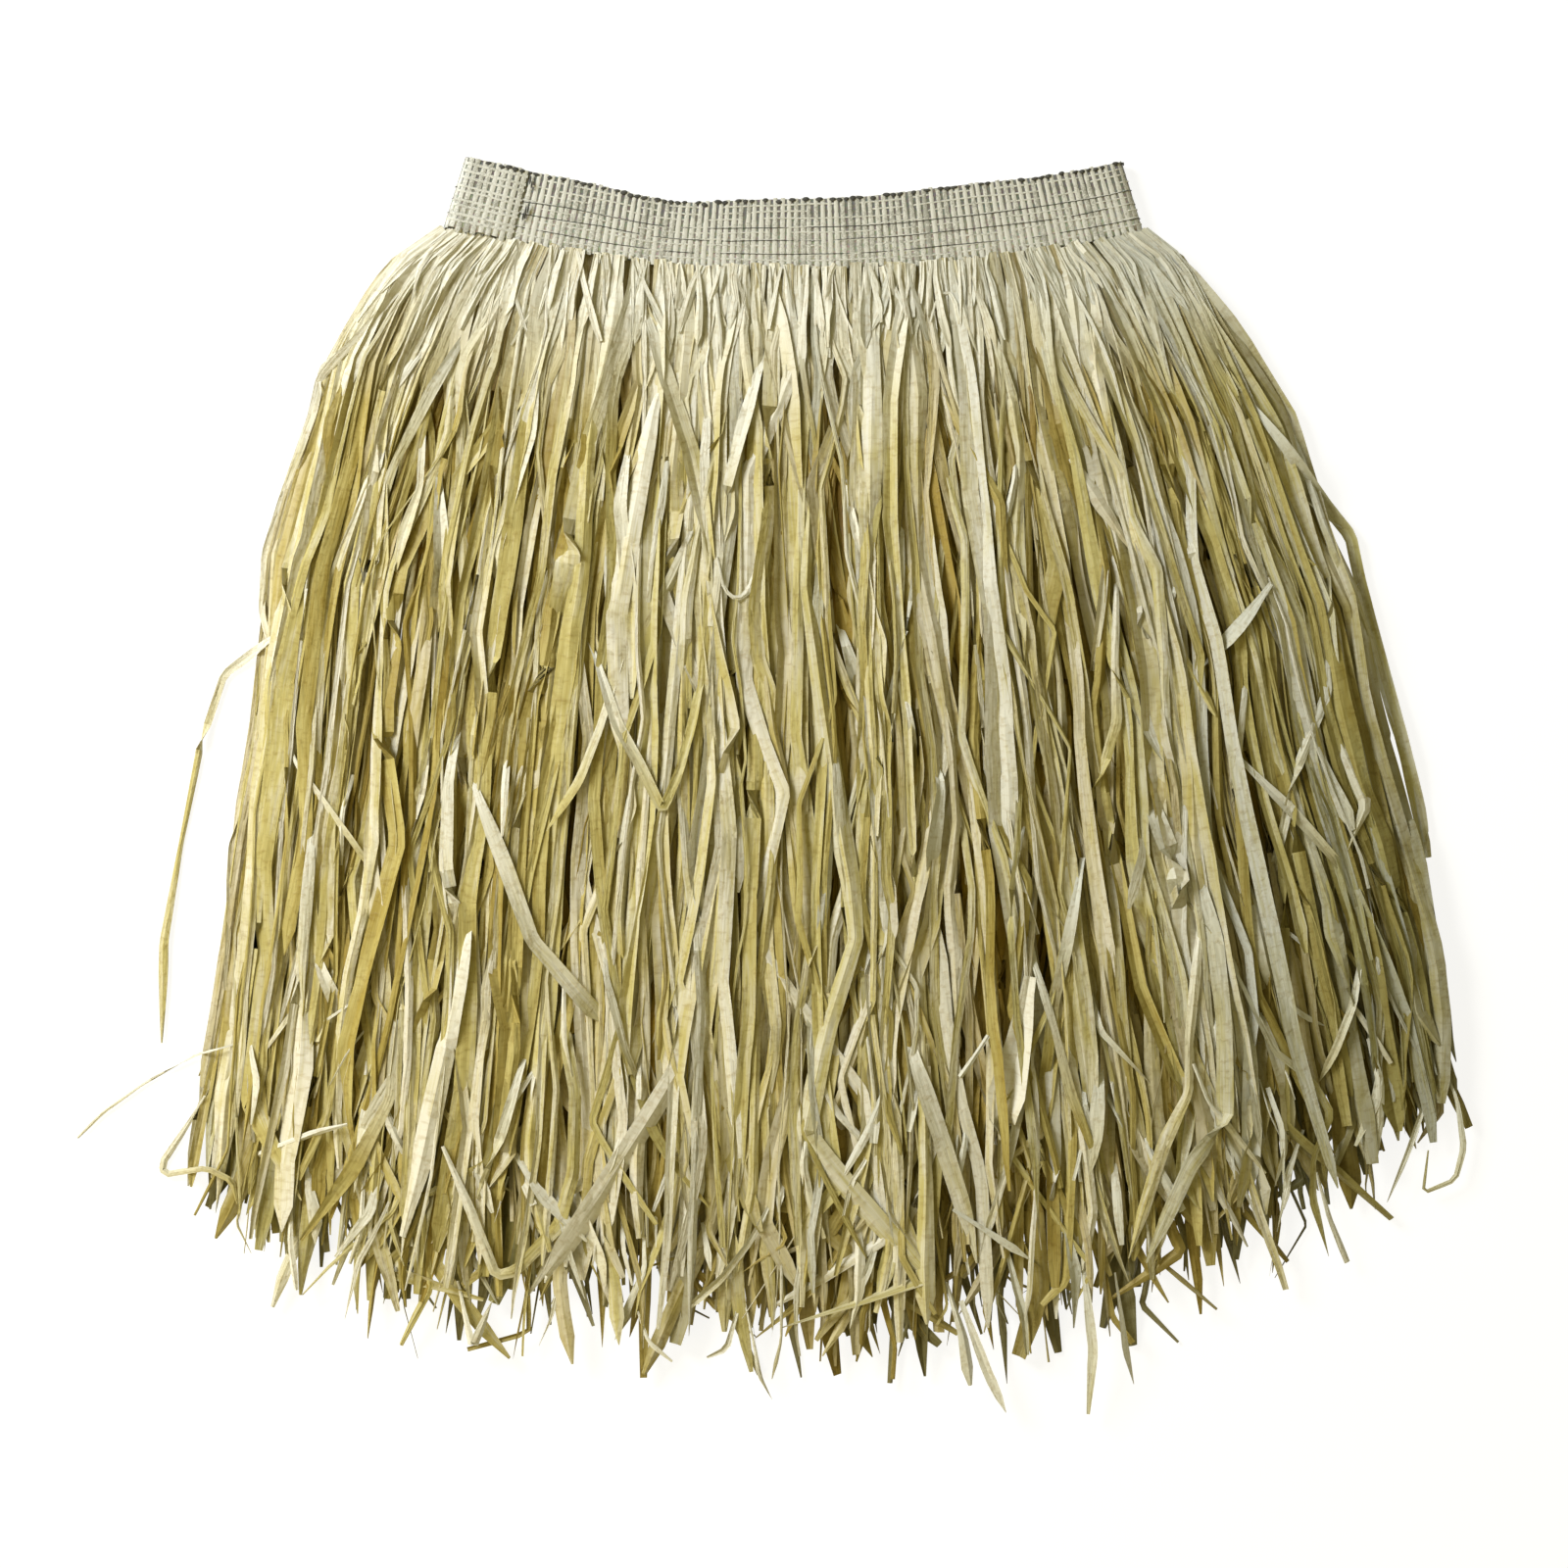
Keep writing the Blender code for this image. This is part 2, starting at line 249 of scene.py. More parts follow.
tape = build_tape()
# The web's dark grey is partly the elastic's own colour and partly painted shade between the ribs, and it
# darkens towards the top edge.
web, tree, shader = new_material("elastic_web_and_shade", (0.2, 0.2, 0.17), 0.9)
height = add_node(tree, "ShaderNodeAttribute", attribute_name="height")
spots = add_noise(tree, 900.0, 2.0)
shades = add_node(tree, "ShaderNodeValToRGB", links={"Fac": height.outputs["Fac"]})
stops = shades.color_ramp.elements
stops[0].position, stops[0].color = 0.10, (0.46, 0.46, 0.40, 1.0)
stops[1].position, stops[1].color = 0.78, (0.17, 0.17, 0.16, 1.0)
stops.new(0.42).color = (0.29, 0.29, 0.25, 1.0)
speckle = add_node(
    tree,
    "ShaderNodeMix",
    data_type="RGBA",
    blend_type="OVERLAY",
    links={6: shades.outputs["Color"], 7: spots.outputs["Color"]},
    values={0: 0.5},
)
tree.links.new(speckle.outputs[2], shader.inputs["Base Color"])
tape.data.materials.append(web)


# Ribs, rows and edge dashes of the waistband
# Cream ribs stand side by side over the whole height of the tape, drawn in by rows of dark elastic.
# Short charcoal dashes lie over the top edge, and the lap at the left is a plain square weave.
ELASTIC_ROWS = (0.19, 0.39, 0.57)
WEFT_ROWS = (0.10, 0.19, 0.31, 0.39, 0.50, 0.58, 0.70, 0.80, 0.90)
RIBS_ON_LAP = 9
LAP_SHARE = 0.047  # of the way round the tape
RIB_HALF_WIDTH, RIB_HALF_THICKNESS = 0.00120, 0.00022


def build_ribbon_tree():
    """Sweeps each rail into a thin closed ribbon, from what is kept on its points."""
    tree = bpy.data.node_groups.new("ribbon_along_rails", "GeometryNodeTree")
    tree.is_modifier = True
    sockets = (
        ("Rails", "NodeSocketGeometry", None),
        ("Sides", "NodeSocketInt", 4),
        ("Crinkle", "NodeSocketFloat", 0.0),
        ("Crinkle Pitch", "NodeSocketFloat", 0.01),
        ("Seed", "NodeSocketInt", 1),
        ("Material", "NodeSocketMaterial", None),
    )
    for name, kind, value in sockets:
        socket = tree.interface.new_socket(name, in_out="INPUT", socket_type=kind)
        if value is not None:
            socket.default_value = value
    tree.interface.new_socket("Ribbons", in_out="OUTPUT", socket_type="NodeSocketGeometry")
    given = tree.nodes.new("NodeGroupInput").outputs

    def kept(name, kind="FLOAT"):
        return add_node(
            tree, "GeometryNodeInputNamedAttribute", values={"Name": name}, data_type=kind
        ).outputs["Attribute"]

    def maths(operation, *values):
        return add_maths(tree, operation, *values)

    def scaled(vector, amount):
        return add_node(
            tree, "ShaderNodeVectorMath", links={"Vector": vector, "Scale": amount}, operation="SCALE"
        ).outputs["Vector"]

    # The profile is a flat ring of points that know how far across and how high they are.
    ring = add_node(tree, "GeometryNodeCurvePrimitiveCircle", links={"Resolution": given["Sides"]})
    spot = tree.nodes.new("GeometryNodeInputPosition")
    parts = add_node(tree, "ShaderNodeSeparateXYZ", links={0: spot.outputs[0]})
    profile = ring.outputs["Curve"]
    for name, axis in (("across", "X"), ("top", "Y")):
        profile = add_node(
            tree,
            "GeometryNodeStoreNamedAttribute",
            links={"Geometry": profile, "Value": parts.outputs[axis]},
            values={"Name": name},
        ).outputs["Geometry"]

    curves = add_node(tree, "GeometryNodeMeshToCurve", links={"Mesh": given["Rails"]})
    swept = add_node(
        tree,
        "GeometryNodeCurveToMesh",
        links={"Curve": curves.outputs["Curve"], "Profile Curve": profile},
        values={"Scale": 0.001, "Fill Caps": True},
    )

    across, top, wide = kept("across"), kept("top"), kept("half_width")
    ripple_at = add_node(
        tree,
        "ShaderNodeCombineXYZ",
        links={
            "X": maths("DIVIDE", kept("along"), given["Crinkle Pitch"]),
            "Y": maths("ADD", maths("MULTIPLY", across, 1.3), maths("MULTIPLY", kept("leaf"), 17.3)),
            "Z": given["Seed"],
        },
    )
    ripple = add_node(
        tree,
        "ShaderNodeTexNoise",
        links={"Vector": ripple_at.outputs[0]},
        values={"Scale": 1.0, "Detail": 1.0},
    )
    rippled = maths("MULTIPLY", maths("SUBTRACT", ripple.outputs["Fac"], 0.5), given["Crinkle"])
    crest = maths("MULTIPLY", kept("fold"), maths("SUBTRACT", 0.5, maths("ABSOLUTE", across)))
    bend = maths("MULTIPLY", maths("ADD", rippled, crest), wide)
    lift = maths("ADD", bend, maths("MULTIPLY", top, kept("half_thickness")))
    sideways = scaled(kept("sideways", "FLOAT_VECTOR"), maths("MULTIPLY", across, wide))
    upwards = scaled(kept("upwards", "FLOAT_VECTOR"), lift)
    both = add_node(tree, "ShaderNodeVectorMath", links={0: sideways, 1: upwards}, operation="ADD")
    place = add_node(
        tree,
        "ShaderNodeVectorMath",
        links={0: kept("centre", "FLOAT_VECTOR"), 1: both.outputs["Vector"]},
        operation="ADD",
    )
    placed = add_node(
        tree,
        "GeometryNodeSetPosition",
        links={"Geometry": swept.outputs["Mesh"], "Position": place.outputs["Vector"]},
    )
    real = add_node(tree, "GeometryNodeRealizeInstances", links={"Geometry": placed.outputs["Geometry"]})
    finished = add_node(
        tree,
        "GeometryNodeSetMaterial",
        links={"Geometry": real.outputs["Geometry"], "Material": given["Material"]},
    )
    add_node(tree, "NodeGroupOutput", links={"Ribbons": finished.outputs["Geometry"]})
    return tree


ribbon_tree = build_ribbon_tree()
RAIL_VALUES = ("centre", "sideways", "upwards", "half_width", "half_thickness", "fold")


def sweep(name, rails, material, sharp=38, **inputs):
    """One mesh of ribbons. Each rail is a dict of arrays, a value for each of its points."""
    mesh = bpy.data.meshes.new(name)
    counts = [len(rail["centre"]) for rail in rails]
    starts = np.cumsum([0] + counts[:-1])
    edges = [(i, i + 1) for start, count in zip(starts, counts) for i in range(start, start + count - 1)]
    mesh.from_pydata(np.concatenate([rail["centre"] for rail in rails]).tolist(), edges, [])
    for key in rails[0]:
        values = np.concatenate([rail[key] for rail in rails])
        kind, field = ("FLOAT_VECTOR", "vector") if values.ndim == 2 else ("FLOAT", "value")
        mesh.attributes.new(key, kind, "POINT").data.foreach_set(field, values.astype(np.float32).ravel())
    guide = link_piece(name + "_guide", mesh)
    modifier = guide.modifiers.new("ribbon", "NODES")
    modifier.node_group = ribbon_tree
    inputs["Material"] = material
    for item in ribbon_tree.interface.items_tree:
        if item.in_out == "INPUT" and item.name in inputs:
            modifier[item.identifier] = inputs[item.name]
    graph = bpy.context.evaluated_depsgraph_get()
    swept = bpy.data.meshes.new_from_object(guide.evaluated_get(graph))
    bpy.data.objects.remove(guide, do_unlink=True)
    for key in RAIL_VALUES + ("top",):
        swept.attributes.remove(swept.attributes[key])
    swept.name = name
    swept.shade_smooth()
    swept.set_sharp_from_angle(angle=math.radians(sharp))
    return link_piece(name, swept)


def seat(piece, slot, *nodes):
    """Fixes a finished piece to the skirt and hides the nodes that it stands for. The slot is not used."""
    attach(piece, "root")
    if nodes:
        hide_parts(*nodes)


def ease(low, high, value):
    share = np.clip((value - low) / (high - low), 0, 1)
    return share * share * (3 - 2 * share)


def rib_rails(rng):
    """A rail up each rib, drawn in where a thread of the weft crosses it."""
    at, x, z, facing = tape_path(RIB_PITCH)
    rails = []
    for i in range(1, len(at)):
        here, level = (x[i] + x[i - 1]) / 2, (z[i] + z[i - 1]) / 2
        out = facing[i] + facing[i - 1]
        out /= np.linalg.norm(out)
        on_lap = i >= len(at) - RIBS_ON_LAP and out[2] > 0.5
        height = np.linspace(rng.uniform(-0.048, 0.010), rng.uniform(0.975, 1.005), 27)
        pinch = sum(np.exp(-(((height - row) / 0.020) ** 2)) for row in WEFT_ROWS)
        pinch = np.minimum(pinch, 1.0) * rng.uniform(0.6, 1.2)
        swell = 1.0 + 0.08 * np.sin(height * 41.0 + rng.uniform(0, 6.3)) * rng.uniform(0.3, 1.0)
        # The ribs draw together near the top edge, except in the plain weave of the lap.
        swell = swell * (1 - (0.0 if on_lap else 0.16) * ease(0.62, 0.80, height))
        lean = rng.normal(0, 0.00016) + rng.normal(0, 0.00016) * height
        lift = -0.00005 if out[2] > -0.5 else -0.00032
        ones = np.ones(len(height))
        outs = out[None, :] * ones[:, None]
        centre = tape_point(here + lean, level * ones, height, outs, lift * ones)
        across = np.cross(np.gradient(centre, axis=0), outs)
        across /= np.linalg.norm(across, axis=1)[:, None]
        rails.append(
            {
                "centre": centre,
                "sideways": across,
                "upwards": outs,
                "half_width": RIB_HALF_WIDTH * swell * (1 - 0.14 * pinch),
                "half_thickness": RIB_HALF_THICKNESS * (1 - 0.35 * pinch),
                "fold": np.zeros(len(height)),
                "along": height * 0.03,
                "leaf": rng.uniform(0, 1) * ones,
                "tone": rng.normal(0.5, 0.16) * ones,
            }
        )
    return rails


def row_rails(rng, rows, start, end, half_width, lift, broken):
    """Rails round the tape for threads of the weft, between two shares of the way round."""
    at, x, z, facing = tape_path(RIB_PITCH / 3)
    first, last = int(start * len(at)), int(end * len(at))
    at, x, z, out = at[first:last], x[first:last], z[first:last], facing[first:last]
    drift_at, dive_at = np.arange(0, 0.7, 0.02), np.arange(0, 0.7, 2 * RIB_PITCH)
    rails = []
    for row in rows:
        drift = np.interp(at, drift_at, rng.normal(0, 0.010, len(drift_at)))
        # A broken thread dives under the ribs here and there.
        dive = np.interp(at, dive_at, rng.uniform(0, 1, len(dive_at)) < broken)
        lifts = np.where(out[:, 2] < -0.5, -0.0002, lift) - 0.0005 * dive
        centre = tape_point(x, z, row + drift, out, lifts)
        ahead = np.gradient(centre, axis=0)
        ahead /= np.linalg.norm(ahead, axis=1)[:, None]
        ones = np.ones(len(x))
        rails.append(
            {
                "centre": centre,
                "sideways": np.cross(out, ahead),
                "upwards": out,
                "half_width": half_width * (0.8 + 0.2 * np.sin(at * 1900.0 + row * 9)),
                "half_thickness": 0.00016 * ones,
                "fold": np.zeros(len(x)),
                "along": at,
                "leaf": row * ones,
                "tone": 0.5 * ones,
            }
        )
    return rails


def stitch_rail(middle, ahead, out, length, half_width, half_thickness, bow):
    """A short stitch that lies along the tape and bows up off it."""
    s = np.linspace(-1, 1, 7)
    centre = middle + ahead * (s * length / 2)[:, None] + out * (bow * (1 - s**2))[:, None]
    ones = np.ones(len(s))
    return {
        "centre": centre,
        "sideways": np.cross(out, ahead) * ones[:, None],
        "upwards": out * ones[:, None],
        "half_width": half_width * np.sqrt(1.02 - s**2),
        "half_thickness": half_thickness * np.sqrt(1.02 - s**2),
        "fold": np.zeros(len(s)),
        "along": s * length,
        "leaf": 0.3 * ones,
        "tone": 0.5 * ones,
    }


def edge_dash_rails(rng):
    """Charcoal dashes over the top edge, one to most pairs of ribs with a few between."""
    _, x, z, facing = tape_path(RIB_PITCH)
    rails = []
    for i in range(1, len(x) - 1):
        left_out = 0.12 if i % 2 else 0.72
        if rng.uniform() < left_out:
            continue
        out = facing[i]
        lift = np.array(0.00018 if out[2] > -0.5 else -0.0007)
        middle = tape_point(x[i], z[i], rng.normal(0.968, 0.008), out, lift)
        ahead = np.array([facing[i][2], 0.25 * x[i] / WAIST_HALF + rng.normal(0, 0.16), -facing[i][0]])
        ahead /= np.linalg.norm(ahead)
        length, half_width = rng.uniform(0.0024, 0.0038), rng.uniform(0.0006, 0.0010)
        rails.append(stitch_rail(middle, ahead, out, length, half_width, half_thickness=0.0003, bow=0.0002))
    return rails


def lap_stitch_rails():
    """The dark thread that sews down the outer end of the tape."""
    rows = (
        # place across, share of the height, length
        (-0.1283, 0.86, 0.0045),
        (-0.1272, 0.80, 0.0036),
        (-0.1262, 0.47, 0.0052),
        (-0.1270, 0.40, 0.0070),
        (-0.1276, 0.34, 0.0040),
    )
    ahead, out = np.array([0.16, 0.987, 0.0]), np.array([0.0, 0.0, 1.0])
    rails = []
    for across, share, length in rows:
        middle = tape_point(np.array(across), np.array(LAP_FACE), share, out, np.array(-0.0004))
        rails.append(stitch_rail(middle, ahead, out, length, 0.0004, 0.0004, bow=0.0003))
    return rails


band_rng = np.random.default_rng(7)

rib_thread, tree, shader = new_material("rib_thread", (0.7, 0.68, 0.56), 0.8)
rib_tone = add_node(tree, "ShaderNodeAttribute", attribute_name="tone")
fuzz = add_noise(tree, 1400.0, 3.0, 0.7)
mottle = add_noise(tree, 260.0, 2.0)
shade = add_maths(tree, "ADD", rib_tone.outputs["Fac"], mottle.outputs["Fac"])
flecks = add_maths(tree, "MULTIPLY_ADD", fuzz.outputs["Fac"], 2.0, -1.0)
shade = add_maths(tree, "ADD", shade, flecks)
thread_colours = add_node(tree, "ShaderNodeValToRGB", links={"Fac": shade})
stops = thread_colours.color_ramp.elements
stops[0].position, stops[0].color = 0.60, (0.39, 0.395, 0.355, 1.0)
stops[1].position, stops[1].color = 1.0, (0.72, 0.73, 0.69, 1.0)
tree.links.new(thread_colours.outputs["Color"], shader.inputs["Base Color"])
bump = add_node(
    tree,
    "ShaderNodeBump",
    links={"Height": fuzz.outputs["Fac"]},
    values={"Strength": 0.7, "Distance": 0.0003},
)
tree.links.new(bump.outputs["Normal"], shader.inputs["Normal"])

dark_thread, tree, shader = new_material("dark_thread", (0.09, 0.09, 0.082), 0.85)
dark_fuzz = add_noise(tree, 700.0, 2.0)
dark_colours = add_node(
    tree,
    "ShaderNodeMix",
    data_type="RGBA",
    links={0: dark_fuzz.outputs["Fac"]},
    values={6: (0.02, 0.02, 0.02, 1.0), 7: (0.12, 0.12, 0.11, 1.0)},
)
tree.links.new(dark_colours.outputs[2], shader.inputs["Base Color"])

ribs = sweep("waistband_ribs", rib_rails(band_rng), rib_thread, Sides=6)
LAP_FROM = 1 - LAP_SHARE
weft_rails = row_rails(
    band_rng, WEFT_ROWS, 0.0, LAP_FROM + 0.001, half_width=0.00046, lift=0.00004, broken=0.42
)
weft_rails += row_rails(band_rng, WEFT_ROWS, LAP_FROM, 1.0, half_width=0.00075, lift=0.00006, broken=0.0)
weft = sweep("waistband_weft", weft_rails, rib_thread, Sides=4)
row_lines = row_rails(band_rng, ELASTIC_ROWS, 0.0, LAP_FROM, half_width=0.00022, lift=0.00018, broken=0.14)
rows = sweep("waistband_elastic_rows", row_lines, dark_thread, Sides=4)
edge_dashes = sweep("waistband_edge_dashes", edge_dash_rails(band_rng), dark_thread, Sides=6)
lap_stitches = sweep("waistband_lap_stitches", lap_stitch_rails(), dark_thread, Sides=6)
seat(tape, "tape", "waistband")
trimmings = [ribs, weft, rows, edge_dashes, lap_stitches]
for piece in trimmings:
    seat(piece, "tape")

# Raffia leaves of the front and back fringe
# Long dried palm leaves, split to a few millimetres and folded along their middle, hang in five layers.
# Each layer is gathered into bunches that fan out to the hem and lie on the layer below.
OUTLINE = np.array(
    (
        # share of the way down, half width on the left, half width on the right
        (0.00, 0.168, 0.167),
        (0.025, 0.184, 0.182),
        (0.04, 0.190, 0.186),
        (0.07, 0.198, 0.193),
        (0.13, 0.211, 0.206),
        (0.20, 0.219, 0.221),
        (0.30, 0.231, 0.236),
        (0.34, 0.236, 0.242),
        (0.42, 0.240, 0.255),
        (0.52, 0.245, 0.262),
        (0.60, 0.251, 0.270),
        (0.80, 0.262, 0.294),
        (1.00, 0.276, 0.309),
    )
)
HEM = np.array(
    (
        # side, from the left edge to the right, and the drop of the hem there
        (-1.00, 0.443),
        (-0.90, 0.471),
        (-0.70, 0.490),
        (-0.35, 0.488),
        (0.00, 0.494),
        (0.35, 0.500),
        (0.65, 0.474),
        (0.80, 0.442),
        (1.00, 0.404),
    )
)
PILE = np.array(
    (
        # share of the way down, thickness of the pile, and how far it lies off the table
        (0.00, 0.0055, 0.00135),
        (0.06, 0.0120, 0.00050),
        (0.16, 0.0190, 0.00040),
        (0.30, 0.0240, 0.00040),
        (0.80, 0.0225, 0.00040),
        (1.02, 0.0120, 0.00040),
        (1.16, 0.0010, 0.00040),
    )
)
PILE_LOST_AT_SIDE = 0.40
ROOT_BELOW_BAND = 0.0007
FINGERS = 58
OUTERMOST = 0.957
CREASE = 0.0014
LEAF_RUN = 0.5
ROOTS_OUT_TO, ROOTS_CROWD = 0.972, 1.05
MANNERS = (
    # up to which share of the leaves, shortest and longest run between kinks, and how far it strays
    (0.15, 0.045, 0.110, 0.0180),
    (0.40, 0.045, 0.110, 0.0105),
    (0.86, 0.026, 0.090, 0.0030),
    (1.00, 0.012, 0.038, 0.0017),
)
LEAF_RIBBON = {"sharp": 22, "Sides": 4, "Crinkle Pitch": 0.011}
LAYERS = (
    # node, leaves, bunches, share of broad leaves, spacing of a leaf's rings, seed, slot
    ("fringe_back_outer", 250, 20, 0.20, 0.024, 11, "raffia_back"),
    ("fringe_back_inner", 150, 20, 0.20, 0.024, 23, "raffia_back"),
    ("fringe_front_inner", 300, 22, 0.22, 0.017, 37, "raffia_front"),
    ("fringe_front_middle", 350, 24, 0.24, 0.014, 41, "raffia_front"),
    ("fringe_front_outer", 310, 26, 0.25, 0.013, 53, "raffia_front"),
)


def half_width(x, station):
    left = np.interp(station, OUTLINE[:, 0], OUTLINE[:, 1])
    right = np.interp(station, OUTLINE[:, 0], OUTLINE[:, 2])
    return np.where(x > 0, right, left)


def root_at(even, out_to=ROOTS_OUT_TO):
    """Where a leaf leaves the tape. The leaves stand a little closer together towards the folds."""
    return out_to * np.sin(ROOTS_CROWD * even) / math.sin(ROOTS_CROWD)


def hang_point(side, station):
    """Place in plan, at each station, of a leaf that leaves the tape at a side and hangs without a bend."""
    spread = 1.5 + 2.2 * np.exp(-station / 0.25)
    fan = np.sign(side) * (np.abs(side) / OUTERMOST) ** spread
    x = side * WAIST_HALF + fan * (half_width(side, station) - WAIST_HALF)
    y = band_lower_edge(side) - ROOT_BELOW_BAND - np.interp(side, *HEM.T) * station
    return x, y


def pile_height(x, y, level):
    """Height of a level of the pile over points in plan. Level 0 is the floor and 5 is the top."""
    side = x / WAIST_HALF
    station = np.zeros(np.shape(x))
    # The side and the station of a place depend on each other, and settle in a few rounds.
    for _ in range(6):
        side = np.clip(side, -1, 1)
        station = np.maximum(0, (band_lower_edge(side) - ROOT_BELOW_BAND - y) / np.interp(side, *HEM.T))
        side = x / half_width(x, station)
    height = np.interp(station, PILE[:, 0], PILE[:, 1])
    lift = np.interp(station, PILE[:, 0], PILE[:, 2])
    at_root = np.maximum(0, 1 - station / PILE[1, 0])
    height = height * (1 - PILE_LOST_AT_SIDE * np.clip(side, -1, 1) ** 4 * (1 - at_root))
    height = height * (1 - 0.92 * ease(0.99, 1.05, np.abs(side)))
    return lift + height * level / len(LAYERS)


def leaf_stations(rng, start, end, spacing, shortest, longest):
    """Places down a leaf where it has a ring, with two close together at each kink, and the kinks."""
    kinks = []
    place = start + rng.uniform(0.6, 1.4) * shortest
    while place < end - 0.008:
        kinks.append(place)
        place += rng.uniform(shortest, longest)
    kinks = np.array(kinks)
    even = np.linspace(start, end, max(3, round((end - start) / spacing) + 1))
    if len(kinks):
        even = even[np.min(np.abs(even[:, None] - kinks), axis=1) > 0.0035]
    at = np.unique(np.concatenate([[start], even, kinks - CREASE, kinks + CREASE, [end]]))
    return at, kinks


def bent(rng, at, kinks, size, hold=0.45):
    """An uneven line about zero that runs straight from kink to kink."""
    knots = np.concatenate([[at[0]], kinks, [at[-1]]])
    values = np.zeros(len(knots))
    values[0] = rng.normal(0, size) * 0.5
    for i in range(1, len(knots)):
        values[i] = hold * values[i - 1] + rng.normal(0, size)
    return np.interp(at, knots, values)


def stepped(rng, at, kinks, size, hold=0.4):
    """A value that holds from kink to kink and changes at each."""
    knots = np.sort(np.concatenate([kinks - CREASE, kinks + CREASE]))
    values = np.zeros(len(kinks) + 1)
    values[0] = rng.normal(0, size)
    for i in range(1, len(values)):
        values[i] = hold * values[i - 1] + rng.normal(0, size)
    return np.interp(at, knots, np.repeat(values, 2)[1:-1]) if len(kinks) else 0 * at + values[0]


def leaf_frame(centre, roll):
    """Unit vectors across a leaf and out of its face, turned about its run by roll."""
    ahead = np.gradient(centre, axis=0)
    ahead /= np.linalg.norm(ahead, axis=1)[:, None]
    flat = np.cross(ahead, (0, 0, 1))
    flat /= np.linalg.norm(flat, axis=1)[:, None]
    face = np.cross(flat, ahead)
    turn, lift = np.cos(roll)[:, None], np.sin(roll)[:, None]
    return flat * turn + face * lift, face * turn - flat * lift


def leaf_width(rng, broad_share, thin_share):
    """Width of a split leaf: most are middling, some are broad, and some are threads or hairs."""
    kind = rng.uniform()
    if kind < thin_share / 3:
        return rng.uniform(0.0006, 0.0012)
    if kind < thin_share:
        return rng.uniform(0.0014, 0.0028)
    if kind < 1 - broad_share:
        return rng.uniform(0.0028, 0.0056)
    return rng.uniform(0.0056, 0.0100)


def dress_leaf(
    rng,
    centre,
    at,
    kinks,
    width,
    depth,
    root_share=1.0,
    roll_size=0.30,
    turns=0.22,
    painted_shade=0.0,
    tone_shift=0.0,
):
    """Everything that the sweep needs to know of a leaf that runs through the centre points."""
    length = at[-1] - at[0]
    down = at - at[0]
    roll = rng.normal(0, roll_size) + bent(rng, at, kinks, 0.24) + stepped(rng, at, kinks, 0.13)
    roll = 0.7 * np.tanh(roll / 0.7)
    for _ in range(3):
        if rng.uniform() < turns and length > 0.06:
            flip = rng.uniform(0.12, 0.95) * length
            span = rng.uniform(0.004, 0.018)
            roll = roll + rng.choice((-1, 1)) * math.pi * ease(flip - span, flip + span, down)
    gather = root_share + (1 - root_share) * ease(0.0, 0.035, down)
    tip_span = rng.uniform(0.003, 0.012) if rng.uniform() < 0.5 else rng.uniform(0.012, 0.050)
    tip_share = rng.choice((0.06, 0.15, 0.3, 0.6))
    tip = tip_share + (1 - tip_share) * np.clip((length - down) / tip_span, 0, 1)
    sideways, upwards = leaf_frame(centre, roll)
    fold = rng.choice((-1, 1)) * rng.uniform(0.05, 0.46) + bent(rng, at, kinks, 0.14)
    half = width / 2 * gather * tip * np.clip(1 + bent(rng, at, kinks, 0.22), 0.40, 1.35)
    # No edge of a leaf goes down through what the skirt lies on.
    lowest = half * (np.abs(sideways[:, 2]) + 0.5 * np.abs(fold) + 0.25) + 0.0006
    centre = np.column_stack([centre[:, :2], np.maximum(centre[:, 2], lowest)])
    ones = np.ones(len(at))
    # Leaves further right are greyer: partly a greyer tone of their own and partly painted shade on the
    # side away from the light.
    grey = 0.34 + 1.8 * centre[:, 0].mean() + rng.normal(0, 0.22)
    return {
        "centre": centre,
        "sideways": sideways,
        "upwards": upwards,
        "half_width": half,
        "half_thickness": 0.00015 * (0.4 + 0.6 * tip),
        "fold": fold,
        "along": down,
        "leaf": rng.uniform(0, 1) * ones,
        # A leaf's tone is darker the lower it lies in the pile: painted shade.
        "tone": np.clip(rng.normal(0.12 + 0.58 * np.mean(depth) + tone_shift, 0.25), 0, 1) * ones,
        "grey": np.clip(grey, 0.12, 1) + painted_shade * ones,
        "depth": depth * ones,
    }


